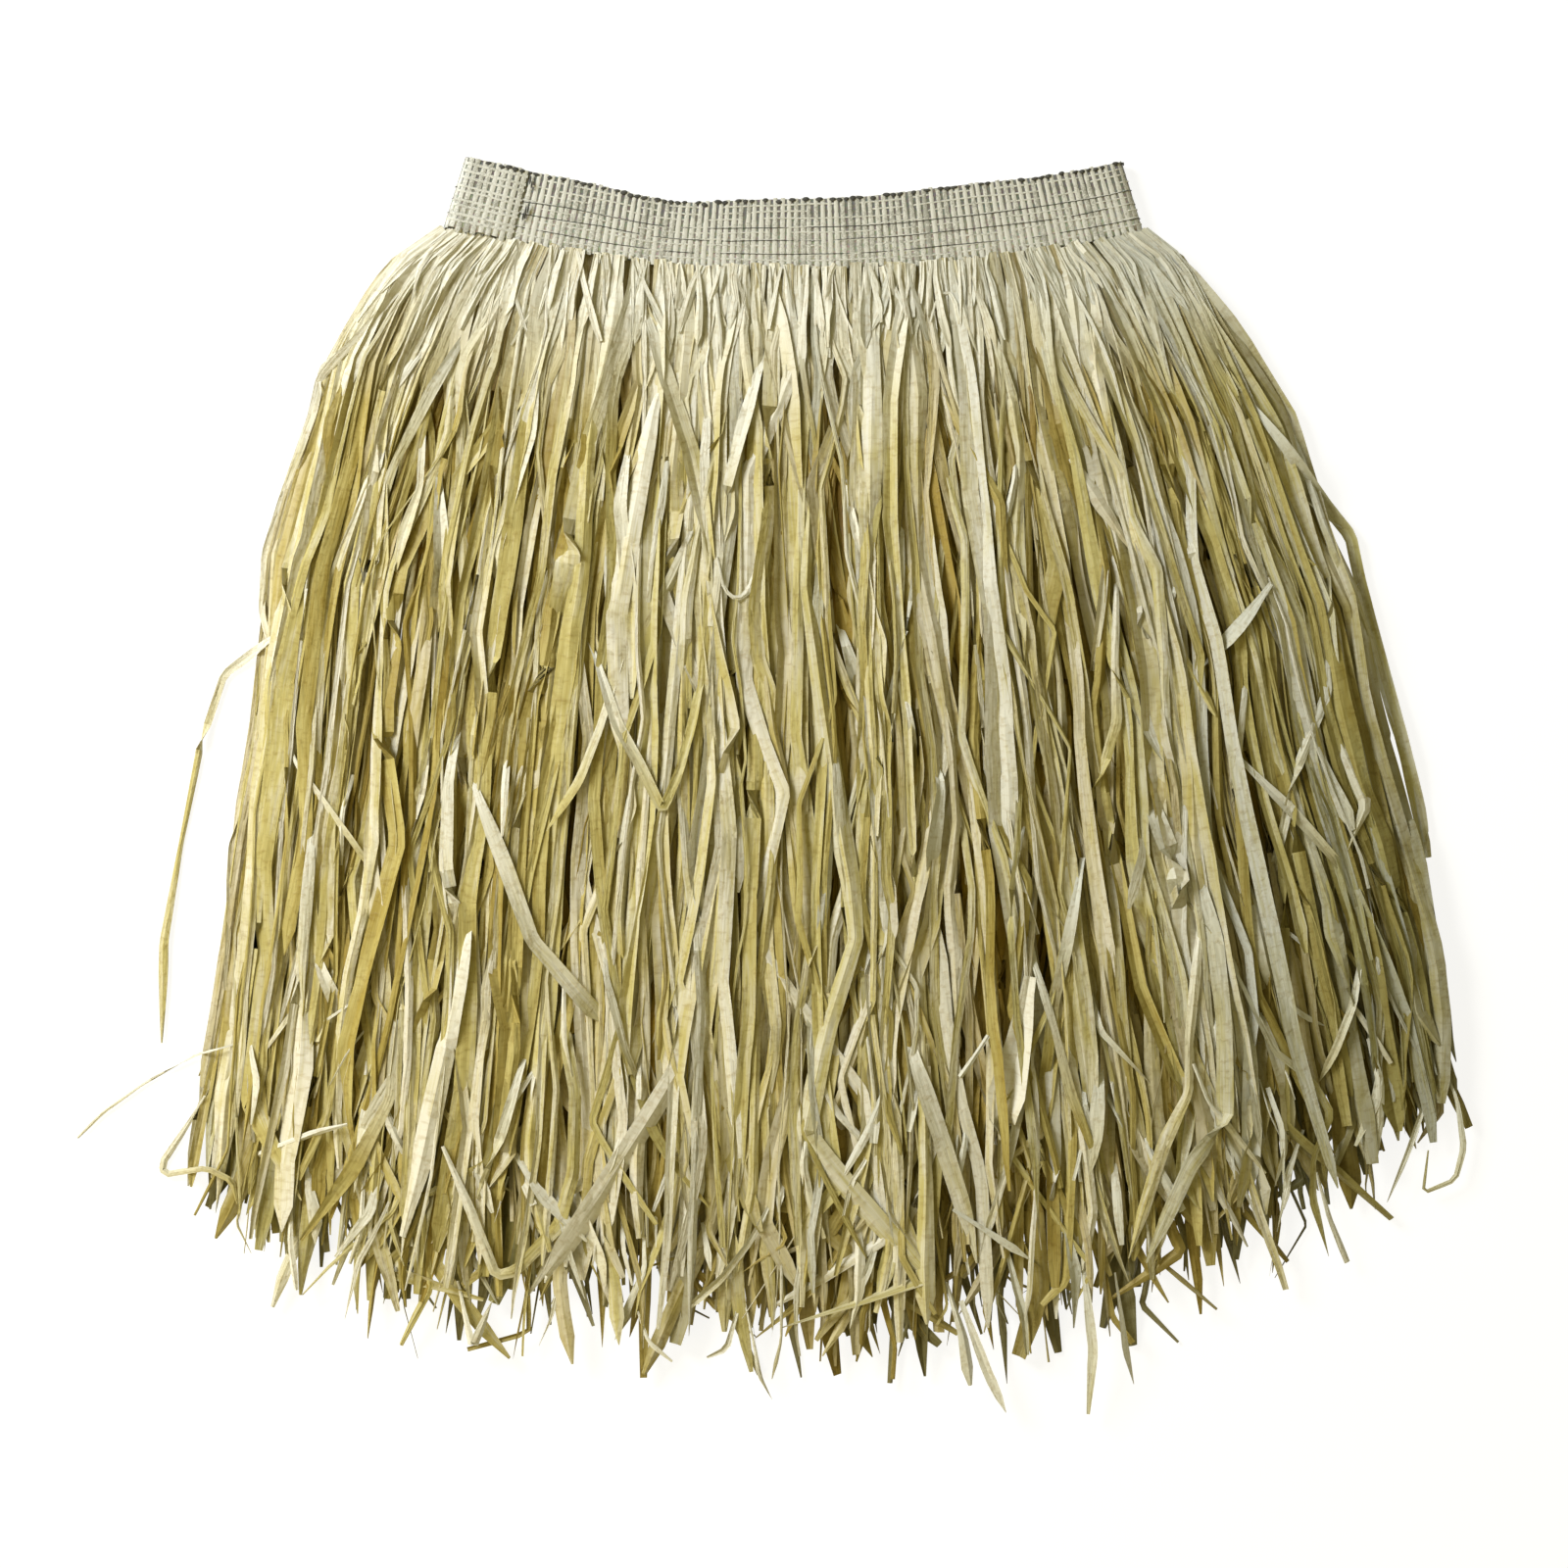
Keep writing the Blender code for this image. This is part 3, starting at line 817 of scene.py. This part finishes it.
def hang_layer(rng, level, count, bunches, broad_share, spacing):
    """The rails of one layer: leaves set evenly round the waist that bunch, part and cross further down."""
    marks = np.linspace(0.06, 1.1, 9)
    gathering = np.clip(rng.normal(0.22, 0.36, (bunches, 9)), -0.15, 0.85)
    ridge = rng.normal(0, 0.40, (bunches, 9))
    leaning = np.cumsum(rng.normal(0, 0.0022, (bunches, 9)), axis=1)
    outermost = level == len(LAYERS) - 1
    gathering += 0.12 * outermost
    gathering[:, 0] = ridge[:, 0] = leaning[:, 0] = 0
    # At the tape the leaves are knotted together by fives or so, each knot a narrow finger.
    knots = root_at(-1 + (2 * np.arange(FINGERS) + rng.uniform(0.7, 1.3, FINGERS)) / FINGERS)
    heads = -rng.uniform(0.0002, 0.0026, FINGERS)
    rails = []
    for i in range(count):
        even = -1 + 2 * (i + rng.uniform(0.2, 0.8)) / count
        root = root_at(even)
        bunch = int((even + 1) / 2 * bunches)
        bunch = min(max(bunch + (rng.choice((-1, 1)) if rng.uniform() < 0.15 else 0), 0), bunches - 1)
        heart = root_at(-1 + (2 * bunch + 1) / bunches)
        finger = min(int((even + 1) / 2 * FINGERS), FINGERS - 1)

        reach = rng.uniform(0.885, 1.0)
        if rng.uniform() < 0.14:
            reach *= rng.uniform(0.78, 0.95)
        elif rng.uniform() < 0.08 and abs(root) < 0.9:
            reach = rng.uniform(1.0, 1.05)
        on_tape = outermost and root * WAIST_HALF > LAP_END
        start = heads[finger] + rng.uniform(-0.0003, 0.0003) if on_tape else -0.0005
        manner = rng.uniform()
        shortest, longest, strays = next(row[1:] for row in MANNERS if manner < row[0])
        at, kinks = leaf_stations(rng, start, reach * LEAF_RUN, spacing, shortest, longest)
        t = at / LEAF_RUN

        drift = np.clip(t / 0.30, 0, 1)
        knot = (knots[finger] + rng.normal(0, 0.0055) - root) * outermost
        to_heart = (heart - root) * np.interp(t, marks, gathering[bunch])
        side = root + knot * (1 - ease(0.015, 0.13, t)) + to_heart
        side = np.clip(side + rng.normal(0, 0.016) * drift, -0.985, 0.985)
        x, y = hang_point(side if level > 1 else 0.965 * side, t)
        calm = np.clip(t / 0.12, 0, 1)
        sway = np.interp(t, marks, leaning[bunch]) + (0.75 + 0.6 * t**2) * bent(rng, at, kinks, strays)
        x = x + calm * sway * (1 - 0.85 * abs(root) ** 4)

        place = level + rng.uniform(0.05, 0.95) + np.interp(t, marks, ridge[bunch]) * calm
        place = np.clip(place + bent(rng, at, kinks, 0.14), 0.05, 5.3)
        z = pile_height(x, y, place) + calm * bent(rng, at, kinks, 0.0009, 0.2)
        if outermost:
            seat_at = FRONT_FACE + 0.0004 if on_tape else LAP_FACE - TAPE - 0.0003
            z = seat_at + (z - seat_at) * ease(0.0, 0.045, t)
        z = np.maximum(z, 0.0012)
        centre = np.stack([x + WAIST_X, y + WAIST_Y, z], 1)
        width = leaf_width(rng, broad_share, 0.15 + 0.20 * max(0.0, -root))
        share_at_root = min(1.0, rng.uniform(0.0026, 0.0046) / width)
        # Depth sets how much painted shade a leaf gets in its colour; leaves at the far sides, which lie in
        # the light, get less.
        depth = min(1.0, place.mean() / 5)
        depth += (1 - depth) * 0.7 * abs(side).mean() ** 8
        # The lower right corner, which slopes away from the light, and the hidden ends near the hem get
        # painted shade: a darker, greyer brown.
        shaded_corner = ease(0.66, 0.95, side) * ease(0.34, 0.78, t)
        hidden_end = ease(0.76, 0.94, t) * (not outermost)
        depth = depth - 0.10 * shaded_corner + (0.80 - depth) * 0.7 * hidden_end * (depth < 0.80)
        painted_shade = shaded_corner + (0.75 if level < 3 else 0.25) * hidden_end
        # On the lower left the painted shade inside the pile is weakened, painting the light that shines
        # through the leaves there, and the tone is lowered towards straw, with less cream.
        lower_left = ease(0.10, 0.75, -side) * ease(0.22, 0.60, t)
        depth = depth + 0.16 * lower_left * (depth < 0.80)
        looks = {"roll_size": 0.25, "painted_shade": painted_shade, "tone_shift": -0.22 * lower_left.mean()}
        rails.append(dress_leaf(rng, centre, at, kinks, width, depth, share_at_root, **looks))
    return rails


def build_fibre_group():
    """Colour, roughness and relief of a dried leaf, from its lengthwise fibres and cross creases."""
    group = bpy.data.node_groups.new("raffia_fibres", "ShaderNodeTree")
    for name, kind in (
        ("Shade", "NodeSocketColor"),
        ("Straw", "NodeSocketColor"),
        ("Cream", "NodeSocketColor"),
        ("Pile Shade", "NodeSocketFloat"),
    ):
        group.interface.new_socket(name, in_out="INPUT", socket_type=kind)
    for name, kind in (
        ("Colour", "NodeSocketColor"),
        ("Roughness", "NodeSocketFloat"),
        ("Height", "NodeSocketFloat"),
    ):
        group.interface.new_socket(name, in_out="OUTPUT", socket_type=kind)
    given = group.nodes.new("NodeGroupInput").outputs

    def read(name):
        return add_node(group, "ShaderNodeAttribute", attribute_name=name).outputs["Fac"]

    def maths(operation, *values):
        return add_maths(group, operation, *values)

    def noise_at(along_scale, across_scale, detail, shift):
        place = add_node(
            group,
            "ShaderNodeCombineXYZ",
            links={
                "X": maths("MULTIPLY", read("along"), along_scale),
                "Y": maths("MULTIPLY", read("across"), across_scale),
                "Z": maths("MULTIPLY_ADD", read("leaf"), 91.0, shift),
            },
        )
        return add_node(
            group,
            "ShaderNodeTexNoise",
            links={"Vector": place.outputs[0]},
            values={"Scale": 1.0, "Detail": detail, "Roughness": 0.6},
        ).outputs["Fac"]

    fibres = noise_at(26.0, 7.0, 3.0, 0.0)
    creases = noise_at(420.0, 0.9, 2.0, 5.0)
    dents = noise_at(75.0, 1.3, 1.0, 17.0)
    patches = noise_at(34.0, 0.7, 2.0, 11.0)
    marks = maths("SMOOTH_MIN", maths("MULTIPLY", maths("SUBTRACT", creases, 0.36), 7.0), 1.0, 0.2)
    tone = maths("ADD", read("tone"), maths("MULTIPLY", maths("SUBTRACT", patches, 0.5), 1.1))
    tone = maths("ADD", tone, maths("MULTIPLY", maths("SUBTRACT", fibres, 0.5), 0.7))
    tone = maths("ADD", tone, maths("MULTIPLY", maths("SUBTRACT", read("along"), 0.2), 0.25))

    def mix(share, first, second, blend="MIX"):
        ends = {0: share, 6: first}
        node = add_node(group, "ShaderNodeMix", data_type="RGBA", blend_type=blend, links=ends)
        if isinstance(second, tuple):
            node.inputs[7].default_value = (*second, 1.0)
        else:
            group.links.new(second, node.inputs[7])
        return node.outputs[2]

    low = mix(maths("MULTIPLY", tone, 2.0), given["Shade"], given["Straw"])
    high = mix(maths("MULTIPLY_ADD", tone, 2.0, -1.0), low, given["Cream"])
    # The leaves lower in the pile are browned with painted shade, the more the lower they lie.
    painted_pile_shade = maths("MULTIPLY", maths("SUBTRACT", 0.94, read("depth")), given["Pile Shade"])
    with_painted_light = mix(painted_pile_shade, high, (0.55, 0.41, 0.08), "MULTIPLY")
    # Their heads, just under the tape, are painted near white: partly sun-bleaching and partly a painted
    # highlight where they rise towards the light.
    head_highlight = add_node(
        group,
        "ShaderNodeMapRange",
        links={"Value": read("along")},
        values={"From Min": 0.02, "From Max": 0.085, "To Min": 0.95, "To Max": 0.0},
    )
    on_top = maths("MINIMUM", maths("MAXIMUM", maths("MULTIPLY_ADD", read("depth"), 8.0, -6.4), 0.25), 1.0)
    with_painted_light = mix(maths("MULTIPLY", head_highlight.outputs[0], on_top), with_painted_light, (0.86, 0.85, 0.75))
    # Greying darkens the colour: each leaf's own greyer tone, with painted shade on the right, in the lower
    # right corner and at the hidden hem ends.
    greyed = mix(maths("MULTIPLY", read("grey"), 0.52), with_painted_light, (0.54, 0.60, 0.66), "MULTIPLY")
    # The fine creases are darkened: painted shade in their grooves.
    crease_shade = maths("MULTIPLY", maths("SUBTRACT", 1.0, marks), 0.3)
    crease_shaded = mix(crease_shade, greyed, (0.62, 0.52, 0.34), "MULTIPLY")
    relief = maths("ADD", maths("MULTIPLY", fibres, 0.14), maths("MULTIPLY", marks, 0.07))
    relief = maths("ADD", relief, maths("MULTIPLY", dents, 0.7))
    rough = maths("MULTIPLY_ADD", fibres, 0.3, 0.32)
    add_node(group, "NodeGroupOutput", links={"Colour": crease_shaded, "Roughness": rough, "Height": relief})
    return group


fibre_group = build_fibre_group()


def raffia_material(name, shade, straw, cream, pile_shade):
    material, tree, shader = new_material(name, straw, 0.5)
    shader.inputs["Specular IOR Level"].default_value = 0.28
    fibres = add_node(tree, "ShaderNodeGroup", node_tree=fibre_group)
    for socket, value in (("Shade", shade), ("Straw", straw), ("Cream", cream)):
        fibres.inputs[socket].default_value = (*value, 1.0)
    fibres.inputs["Pile Shade"].default_value = pile_shade
    tree.links.new(fibres.outputs["Colour"], shader.inputs["Base Color"])
    tree.links.new(fibres.outputs["Roughness"], shader.inputs["Roughness"])
    bump = add_node(
        tree,
        "ShaderNodeBump",
        links={"Height": fibres.outputs["Height"]},
        values={"Strength": 0.7, "Distance": 0.0014},
    )
    tree.links.new(bump.outputs["Normal"], shader.inputs["Normal"])
    return material


front_raffia = raffia_material(
    "raffia_front", shade=(0.40, 0.31, 0.07), straw=(0.61, 0.54, 0.215), cream=(0.82, 0.80, 0.70), pile_shade=3.0
)
# The back layers get a darker, greyer copy of the raffia: painted shade for the leaves that lie under the
# front.
shaded_back_raffia = raffia_material(
    "raffia_back", shade=(0.20, 0.17, 0.06), straw=(0.34, 0.30, 0.14), cream=(0.52, 0.48, 0.31), pile_shade=0.45
)

for level, (node, count, bunches, broad_share, spacing, seed, slot) in enumerate(LAYERS):
    rails = hang_layer(np.random.default_rng(seed), level, count, bunches, broad_share, spacing)
    raffia = front_raffia if slot == "raffia_front" else shaded_back_raffia
    name = node.replace("fringe_", "leaves_")
    layer = sweep(name, rails, raffia, Crinkle=0.5, Seed=seed, **LEAF_RIBBON)
    seat(layer, slot, node)

# Loose leaves on top and round the edge
# Some leaves have come out of their bunch: they cross the others, fold back, end in short stubs near
# the hem, or lie beside the skirt on the table. All are the same raffia, and rest on what is under them.
LAID = (
    # width in mm, whether its start and its end go in under the others, places in mm
    (
        4.5, True, False,
        (
            (-224, 73), (-242, 62), (-257, 51), (-268, 18),
            (-277, -27), (-285, -73), (-286, -120),
        ),
    ),
    (1.6, True, False, ((-244, -118), (-269, -125), (-293, -138), (-313, -152), (-325, -164))),
    (
        3.1, True, True,
        (
            (-265, -144), (-270, -152), (-286, -176), (-285, -181),
            (-264, -177), (-252, -183), (-250, -194),
        ),
    ),
    (1.8, True, False, ((-195, 206), (-213, 192), (-211, 179))),
    (
        3.6, True, True,
        (
            (-168, 236), (-194, 206), (-212, 188), (-215, 172),
            (-229, 134), (-238, 107), (-239, 80), (-234, 62),
        ),
    ),
    (
        5, True, True,
        (
            (214, 180), (249, 135), (265, 115), (269, 96), (278, 63),
            (291, 12), (296, -9), (299, -24), (296, -40),
        ),
    ),
    (
        4.5, True, True,
        (
            (234, 168), (240, 158), (251, 121), (263, 93),
            (274, 66), (284, 32), (294, 1), (301, -34),
        ),
    ),
    (2.2, True, True, ((241, 132), (255, 122), (265, 117))),
    (2.2, True, True, ((260, 85), (271, 95))),
    (2.2, True, False, ((308, -133), (313, -145), (317, -168), (313, -183), (298, -189), (300, -169))),
    (5.9, True, False, ((298, -148), (290, -171), (281, -193))),
    (6.3, True, False, ((272, -117), (277, -137), (276, -172))),
    (
        3.6, True, False,
        (
            (207, -72), (210, -87), (227, -122), (246, -137),
            (254, -152), (246, -172), (246, -191), (254, -218),
        ),
    ),
    (3.6, True, False, ((248, -179), (254, -200), (263, -221))),
    (3.1, True, True, ((229, -64), (248, -79))),
    (3.6, True, True, ((229, -97), (242, -107), (251, -111))),
    (3.6, True, True, ((269, -70), (264, -101), (256, -122), (249, -137))),
    (7.7, True, False, ((192, -36), (200, -72), (204, -108), (205, -153), (189, -175), (169, -220))),
    (5.4, True, False, ((194, -58), (188, -118), (188, -141), (177, -164), (161, -218))),
    (3.6, False, False, ((190, -128), (197, -146), (204, -154), (224, -179))),
    (9.9, True, False, ((59, -112), (63, -128), (75, -164), (88, -205), (91, -220))),
    (13.5, False, True, ((115, -88), (110, -118), (103, -152), (101, -166))),
    (5.4, False, False, ((96, -115), (88, -127), (83, -134))),
    (4, False, False, ((80, -195), (97, -206), (115, -218))),
    (5.4, True, False, ((47, -205), (42, -220), (37, -234))),
    (
        4.5, False, True,
        (
            (-154, -166), (-142, -194), (-130, -226), (-121, -224),
            (-101, -203), (-94, -178), (-93, -141), (-99, -108),
        ),
    ),
    (6.3, True, False, ((-240, -171), (-213, -160), (-198, -156))),
    (8.1, True, False, ((-175, -94), (-174, -108), (-178, -144), (-195, -176), (-220, -210))),
    (6.8, True, False, ((-121, -170), (-110, -187), (-88, -210))),
    (9, True, False, ((-142, -58), (-143, -73), (-152, -119), (-165, -178), (-173, -208))),
    (4, True, True, ((-186, -94), (-200, -103), (-213, -112))),
    (3.6, True, False, ((-187, -109), (-197, -122), (-206, -138))),
    (4, True, False, ((-65, -243), (-60, -257), (-49, -266))),
    (2.2, True, False, ((-15, -241), (-11, -259), (-9, -272), (-3, -284))),
    (4, True, False, ((-19, -243), (-24, -260), (-33, -264))),
    (4, True, True, ((-148, -229), (-141, -260), (-132, -238))),
    (5.9, True, False, ((84, -238), (96, -270), (105, -290))),
    (5, True, False, ((140, -220), (145, -261), (143, -291))),
    (3.6, True, False, ((155, -225), (160, -261), (164, -277))),
    (9, True, True, ((-65, 232), (-70, 219), (-78, 185), (-87, 158), (-91, 132), (-96, 103), (-103, 72))),
    (8.1, True, True, ((-52, 189), (-57, 173), (-67, 121), (-74, 78), (-73, 31), (-70, 5))),
    (7.7, True, True, ((-6, 203), (-8, 194), (-17, 162), (-27, 122))),
    (6.8, True, True, ((-63, 225), (-60, 214), (-50, 182), (-40, 151), (-33, 117), (-28, 90))),
    (7.2, True, True, ((-32, 180), (-34, 149), (-33, 110), (-30, 72))),
    (6.3, True, True, ((-142, 212), (-160, 180), (-176, 148), (-184, 126))),
    (6.3, True, True, ((-160, 206), (-177, 182), (-187, 155))),
    (8.1, True, True, ((-178, 230), (-192, 203), (-204, 171))),
    (7.2, True, True, ((-106, 203), (-112, 180), (-115, 162), (-124, 126), (-133, 90))),
    (2.7, False, False, ((-28, 104), (-25, 89), (-19, 84), (-13, 89), (-11, 99))),
    (2.4, False, False, ((70, 213), (73, 224), (77, 228), (81, 224), (83, 212))),
    (
        4, True, True,
        (
            (-87, 65), (-84, 59), (-74, 28), (-64, 10),
            (-53, -12), (-45, 7), (-39, 29), (-34, 56),
        ),
    ),
    (5.9, False, True, ((226, 92), (215, 77), (195, 54))),
    (5, False, True, ((212, 11), (236, -13), (264, -44))),
    (5.4, False, False, ((248, 17), (255, -1), (264, -21))),
    (4.5, True, True, ((215, 57), (212, 25), (208, -9))),
    (5.9, True, True, ((185, 122), (194, 90))),
    (5.9, True, True, ((184, 104), (177, 72))),
    (5.9, True, True, ((151, 113), (148, 86), (144, 52))),
    (5.4, True, True, ((103, -22), (110, -45), (119, -69))),
    (4.5, True, True, ((56, 50), (60, 32), (63, 11))),
    (5.4, True, True, ((25, 23), (29, -22), (36, -64))),
    (5.9, True, False, ((30, 140), (34, 122), (38, 104))),
    (13.5, True, True, ((168, 0), (174, -18), (181, -36), (185, -58))),
)


def lay_leaf(rng, width, start_under, end_under, places, level=5.25):
    """A leaf through given places, in metres, that rests on the pile and may go in under it at its ends."""
    places = np.array(places)
    run = np.concatenate([[0], np.cumsum(np.linalg.norm(np.diff(places, axis=0), axis=1))])
    kinks = run[1:-1]
    even = np.linspace(0, run[-1], max(4, round(run[-1] / 0.007)))
    if len(kinks):
        even = even[np.min(np.abs(even[:, None] - kinks), axis=1) > 0.0030]
    at = np.unique(np.concatenate([[0], even, kinks - 0.0022, kinks + 0.0022, [run[-1]]]))
    at = at[(at >= 0) & (at <= run[-1])]
    x, y = np.interp(at, run, places[:, 0]), np.interp(at, run, places[:, 1])
    sunk = (1 - ease(0.0, 0.018, at)) * start_under + (1 - ease(0.0, 0.018, run[-1] - at)) * end_under
    z = pile_height(x - WAIST_X, y - WAIST_Y, level - 1.3 * sunk) + bent(rng, at, kinks, 0.0004, 0.2)
    centre = np.stack([x, y, np.maximum(z, 0.0010)], 1)
    return dress_leaf(rng, centre, at, kinks, width, 0.97, root_share=0.4, roll_size=0.22, turns=0.08)


def stub_rails(rng, count, nearest, furthest, angle, shortest, longest, under):
    """Short leaf ends strewn over part of the skirt, turned by up to an angle or so from how it hangs."""
    rails = []
    for _ in range(count):
        side, t = rng.uniform(-0.95, 0.95), rng.uniform(nearest, furthest)
        stations = np.array([t, t + 0.04])
        x, y = hang_point(side, stations)
        heading = math.atan2(y[1] - y[0], x[1] - x[0]) + math.radians(rng.normal(0, angle))
        place = np.array([x[0] + WAIST_X, y[0] + WAIST_Y])
        places = [place]
        for _ in range(rng.integers(1, 4)):
            step = rng.uniform(shortest, longest) / 2
            place = place + step * np.array([math.cos(heading), math.sin(heading)])
            heading += math.radians(rng.normal(0, angle))
            places.append(place)
        width = rng.uniform(0.0025, 0.0072)
        # One that would stick out beyond the side of the skirt is left out.
        if abs(place[0] - WAIST_X) > 0.97 * half_width(place[0] - WAIST_X, t):
            continue
        end_under = under and rng.uniform() < 0.7
        rails.append(lay_leaf(rng, width, True, end_under, places, level=rng.uniform(4.6, 5.3)))
    return rails


def tuft_rails(rng, count):
    """Short ends of the knotted leaves, which stick out over the heads of the others below the tape."""
    rails = []
    for _ in range(count):
        root = root_at(rng.uniform(-1, 1), out_to=0.96)
        on_tape = root * WAIST_HALF > LAP_END
        start = rng.uniform(-0.0024, 0.0) if on_tape else 0.0
        length = rng.uniform(0.012, 0.048)
        at, kinks = leaf_stations(rng, start, start + length, 0.006, 0.009, 0.024)
        down = (at - start) / length
        x, y = hang_point(root, at / LEAF_RUN)
        x = x + down * length * math.tan(math.radians(rng.normal(0, 10))) + bent(rng, at, kinks, 0.0008)
        seat_at = FRONT_FACE + 0.0007 if on_tape else LAP_FACE - TAPE
        z = pile_height(x, y, rng.uniform(4.9, 5.2))
        z = seat_at + (z - seat_at) * ease(0.0, 0.045, at / LEAF_RUN)
        z = z + rng.uniform(0.0, 0.0022) * np.sin(math.pi * down)
        centre = np.stack([x + WAIST_X, y + WAIST_Y, z], 1)
        width = rng.uniform(0.0022, 0.0056)
        rails.append(dress_leaf(rng, centre, at, kinks, width, 0.98, root_share=0.55, turns=0.0))
    return rails


loose_rng = np.random.default_rng(83)
loose_rails = [
    lay_leaf(loose_rng, width / 1000, start_under, end_under, np.array(places) / 1000)
    for width, start_under, end_under, places in LAID
]
loose_rails += stub_rails(
    loose_rng, 60, nearest=0.15, furthest=0.80, angle=14, shortest=0.03, longest=0.10, under=True
)
loose_rails += stub_rails(
    loose_rng, 80, nearest=0.74, furthest=0.955, angle=13, shortest=0.02, longest=0.055, under=False
)
loose_rails += tuft_rails(loose_rng, 110)
loose = sweep("leaves_loose", loose_rails, front_raffia, Crinkle=0.4, **LEAF_RIBBON)
seat(loose, "raffia_front")
